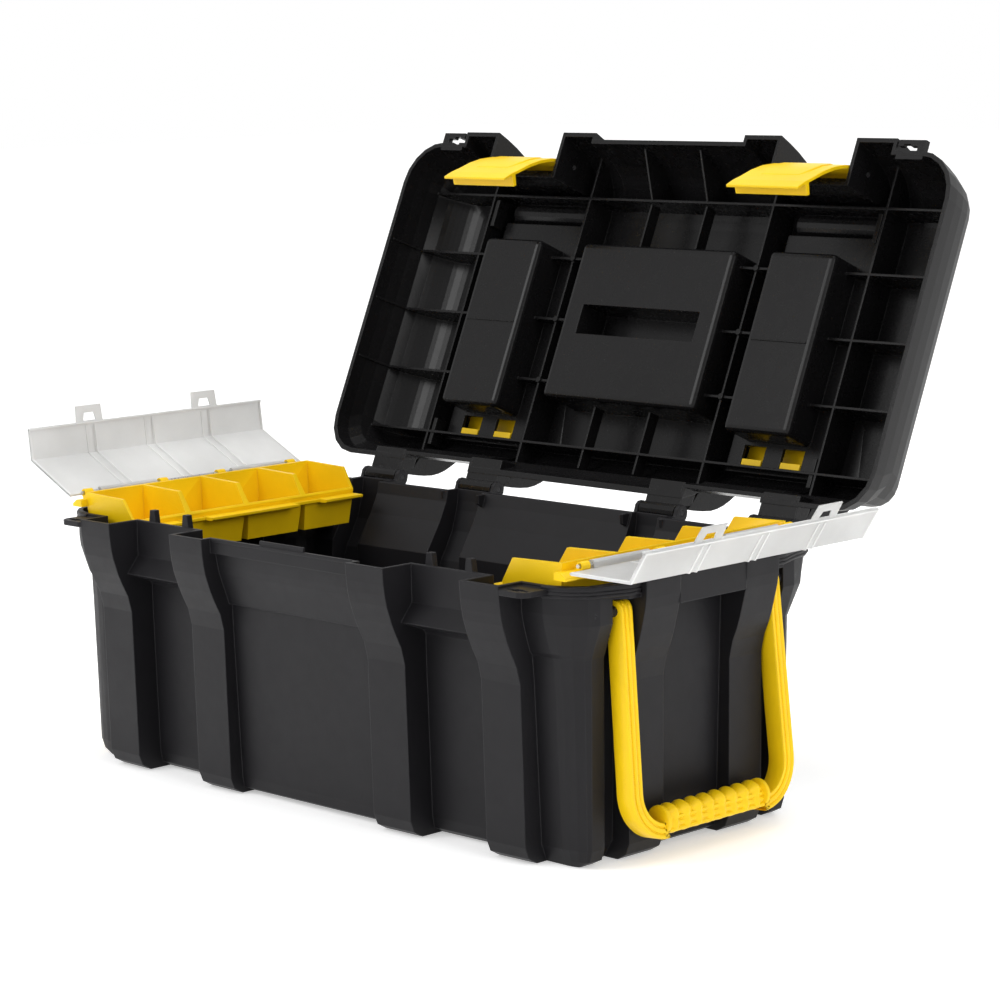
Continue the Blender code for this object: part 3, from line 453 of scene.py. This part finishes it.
def latch_face(side):
    """A raised panel that follows the curved face of a latch, with a bead along the lip."""
    xs = sorted(side * x for x in (LATCH_GAP_X[0] + 12, LATCH_GAP_X[1] - 12))
    bm = bmesh.new()
    rings = []
    for s, n in LATCH_PANEL:
        at_end = (s, n) in (LATCH_PANEL[0], LATCH_PANEL[-1])
        pinch, lift = (5.0, 0.2) if at_end else (0.0, 0.9)
        low, high = xs[0] + pinch, xs[1] - pinch
        rings.append([(low, -s + 1.0, n), (low + 0.6, -s - lift, n), (high - 0.6, -s - lift, n),
                      (high, -s + 1.0, n)])
    loft(bm, rings)
    xs = sorted(side * x for x in (LATCH_GAP_X[0] + 0.4, LATCH_GAP_X[1] - 0.4))
    add_box(bm, xs, *LATCH_LIP)
    return bm


def build_trim():
    """The covers' ridges, the latches' faces and the beads across the organiser covers."""
    for name, side in SIDES:
        piece(f"cover_ridges_{name}", cover_emboss(), FROSTED_EDGE, f"tray_cover_{name}",
              cover_place(name), 0.2)
        place = (lid_place() @ Matrix.Translation((0, -LATCH_AXIS[0], LATCH_AXIS[1]))
                 @ Matrix.Rotation(LATCH_REST, 4, "X"))
        piece(f"latch_face_{name}", latch_face(side), YELLOW, f"latch_{name}", place, 0.5)
        bm = bmesh.new()
        for s in BEADS_S:
            add_box(bm, [side * x for x in BEADS_X], (-s - 1.1, -s + 1.1), BEAD_N)
        piece(f"organizer_beads_{name}", bm, YELLOW, f"organizer_cover_{name}",
              lid_place(), 0.3)


# ---------------------------------------------------------------- fine lines of the black mouldings

def build_lid_details():
    """Short ribs, gussets, bosses, webs under the latches and a seam across each bin, inside the lid."""
    bm = bmesh.new()
    for x in SHORT_RIBS_X:
        for low, high in SHORT_RIB_SPANS:
            add_box(bm, (x - 1, x + 1), (-high, -low), SHORT_RIB_N)
        loft(bm, [[(x + half, -s, n) for s, n in GUSSET] for half in (-0.9, 0.9)])
    for side in (-1, 1):
        add_box(bm, [side * x for x in BIN_SEAM_X], *BIN_SEAM)
        for s in STUBS_S:
            add_box(bm, [side * x for x in STUB_X], (-s - 12, -s + 12), STUB_N)
        add_box(bm, [side * x for x in (LATCH_GAP_X[0] - 1.6, LATCH_GAP_X[1] + 1.6)], *LATCH_WEB)
        for s in WALL_RIBS_S:
            loft(bm, [[(side * x, -s + half, n) for x, n in WALL_RIB] for half in (-0.9, 0.9)])
            bmesh.ops.create_cone(bm, cap_ends=True, segments=16, radius1=2.6, radius2=3.2, depth=9,
                                  matrix=Matrix.Translation((side * BOSS_X, -s, BOSS_N)))
    piece("lid_short_ribs", bm, SMOOTH, "lid", lid_place(), 0.25)


def build_lid_piers():
    """Rounded piers over the hinges, from the lid's rim up to its top, rooted in its back wall."""
    place = lid_place()
    shell = bmesh.new()
    shell.from_mesh(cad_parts["lid"].data)
    shell.transform(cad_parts["lid"].matrix_world)
    wall = BVHTree.FromBMesh(shell)
    shell.free()
    inward = place.to_3x3() @ Vector((0, -1, 0))
    bm = bmesh.new()
    for low, high in PIERS_X:
        rings = []
        for x, within in ((low, 1.0), (high, -1.0)):
            roots = []
            for s, n in PIER_BACK:
                start = place @ Vector((x + within, RAY_BACK, n))
                hit = wall.ray_cast(start * MM, inward)[3]
                deep = hit / MM - RAY_BACK if hit else s
                roots.append((x, -max(s, deep) - PIER_ROOT, n))
            rings.append([(x, -s, n) for s, n in PIER_BACK] + roots[::-1])
        loft(bm, rings)
    piece("lid_piers", bm, SHELL, "lid", place)


def add_band(bm, path, section):
    """A strip that follows a path seen from above; the section is (out, z), out to the path's right."""
    rings = []
    for i, here in enumerate(path):
        before = Vector(path[max(i - 1, 0)])
        after = Vector(path[min(i + 1, len(path) - 1)])
        along = (after - before).normalized()
        out = Vector((along.y, -along.x))
        rings.append([(here[0] + out.x * w, here[1] + out.y * w, z) for w, z in section])
    loft(bm, rings)


def build_tub_details():
    """The lip along the front rim and the lined band round each corner of the rim."""
    bm = bmesh.new()
    add_band(bm, RIM_LIP, RIM_LIP_SECTION)
    add_band(bm, RIM_LIP_MIDDLE, MIDDLE_SECTION)
    piece("tub_rim_lip", bm, GRAINED, "tub", bevel=0.25)
    bm = bmesh.new()
    for end, depth in CORNER_DEPTHS:
        corner = [(CORNER_START + CORNER_SPAN * u, CORNER_Y + (depth - CORNER_Y) * v)
                  for u, v in CORNER_CURVE]
        for side in (-1, 1):
            path = [(side * x, end * y) for x, y in corner + list(CORNER_TAIL)]
            add_band(bm, path[::-1] if side == end else path, CORNER_SECTION)
    piece("tub_corner_bands", bm, GRAINED, "tub")


# ---------------------------------------------------------------- stage

def area(name, location, size, power):
    """A soft light that looks at the toolbox."""
    light = bpy.data.lights.new(name, "AREA")
    light.shape = "RECTANGLE"
    light.size, light.size_y = size
    light.energy = power
    made = bpy.data.objects.new(name, light)
    bpy.context.scene.collection.objects.link(made)
    made.location = location
    made.rotation_euler = (Vector(LIT_AT) - Vector(location)).to_track_quat("-Z", "Y").to_euler()


def build_stage():
    """Pale floor, soft lights and a white surround."""
    paint = bpy.data.materials.new("pale_floor")
    paint.use_nodes = True
    shader = paint.node_tree.nodes["Principled BSDF"]
    shader.inputs["Base Color"].default_value = (0.93, 0.93, 0.93, 1)
    shader.inputs["Roughness"].default_value = 0.9
    shader.inputs["Specular IOR Level"].default_value = 0.1
    shader.inputs["Emission Color"].default_value = (1, 1, 1, 1)
    shader.inputs["Emission Strength"].default_value = 0.42
    bm = bmesh.new()
    bmesh.ops.create_grid(bm, x_segments=1, y_segments=1, size=12)
    mesh = bpy.data.meshes.new("floor")
    bm.to_mesh(mesh)
    bm.free()
    mesh.materials.append(paint)
    floor = bpy.data.objects.new("floor", mesh)
    bpy.context.scene.collection.objects.link(floor)
    floor.location.z = -0.0005

    world = bpy.data.worlds.new("surround")
    world.use_nodes = True
    tree = world.node_tree
    aim = tree.nodes.new("ShaderNodeSeparateXYZ")
    tree.links.new(tree.nodes.new("ShaderNodeTexCoord").outputs["Generated"], aim.inputs[0])
    tree.links.new(remap(tree, aim.outputs["Z"], 1.0, ZENITH, 0.12, 0.7),
                   tree.nodes["Background"].inputs["Strength"])
    tree.nodes["Background"].inputs["Color"].default_value = (1, 1, 1, 1)
    bpy.context.scene.world = world
    for light in LIGHTS:
        area(*light)


def build_camera():
    """A camera at EYE that looks along YAW and PITCH, rolled by ROLL."""
    forward = Vector((-math.sin(YAW) * math.cos(PITCH), math.cos(YAW) * math.cos(PITCH), -math.sin(PITCH)))
    right = forward.cross(Vector((0, 0, 1))).normalized()
    up = right.cross(forward)
    rolled_right = right * math.cos(ROLL) + up * math.sin(ROLL)
    rolled_up = up * math.cos(ROLL) - right * math.sin(ROLL)
    turn = Matrix((rolled_right, rolled_up, -forward)).transposed().to_4x4()
    data = bpy.data.cameras.new("camera")
    data.lens = LENS
    data.sensor_width = SENSOR
    camera = bpy.data.objects.new("camera", data)
    bpy.context.scene.collection.objects.link(camera)
    camera.matrix_world = Matrix.Translation(EYE) @ turn
    bpy.context.scene.camera = camera


# ---------------------------------------------------------------- the whole scene

dress(["tub"], GRAINED)
dress(["lid"], SHELL)
dress([f"bail_pin_{name}_{end}" for name, _ in SIDES for end in ("front", "rear")], GRAINED, 0.3)
dress([f"hinge_pin_{i}" for i in (1, 2, 3, 4)], BLACKENED)
dress([f"{kind}_{name}" for name, _ in SIDES for kind in ("latch_pin", "tray_hinge_rod")], STEEL)
dress([f"{kind}_{name}" for name, _ in SIDES for kind in ("latch", "organizer_cover", "tray")], YELLOW, 0.5)
dress([f"tray_cover_{name}" for name, _ in SIDES], FROSTED)
build_bails()
build_trim()
build_lid_details()
build_lid_piers()
build_tub_details()
build_stage()
build_camera()
bpy.context.scene.view_settings.view_transform = "Standard"
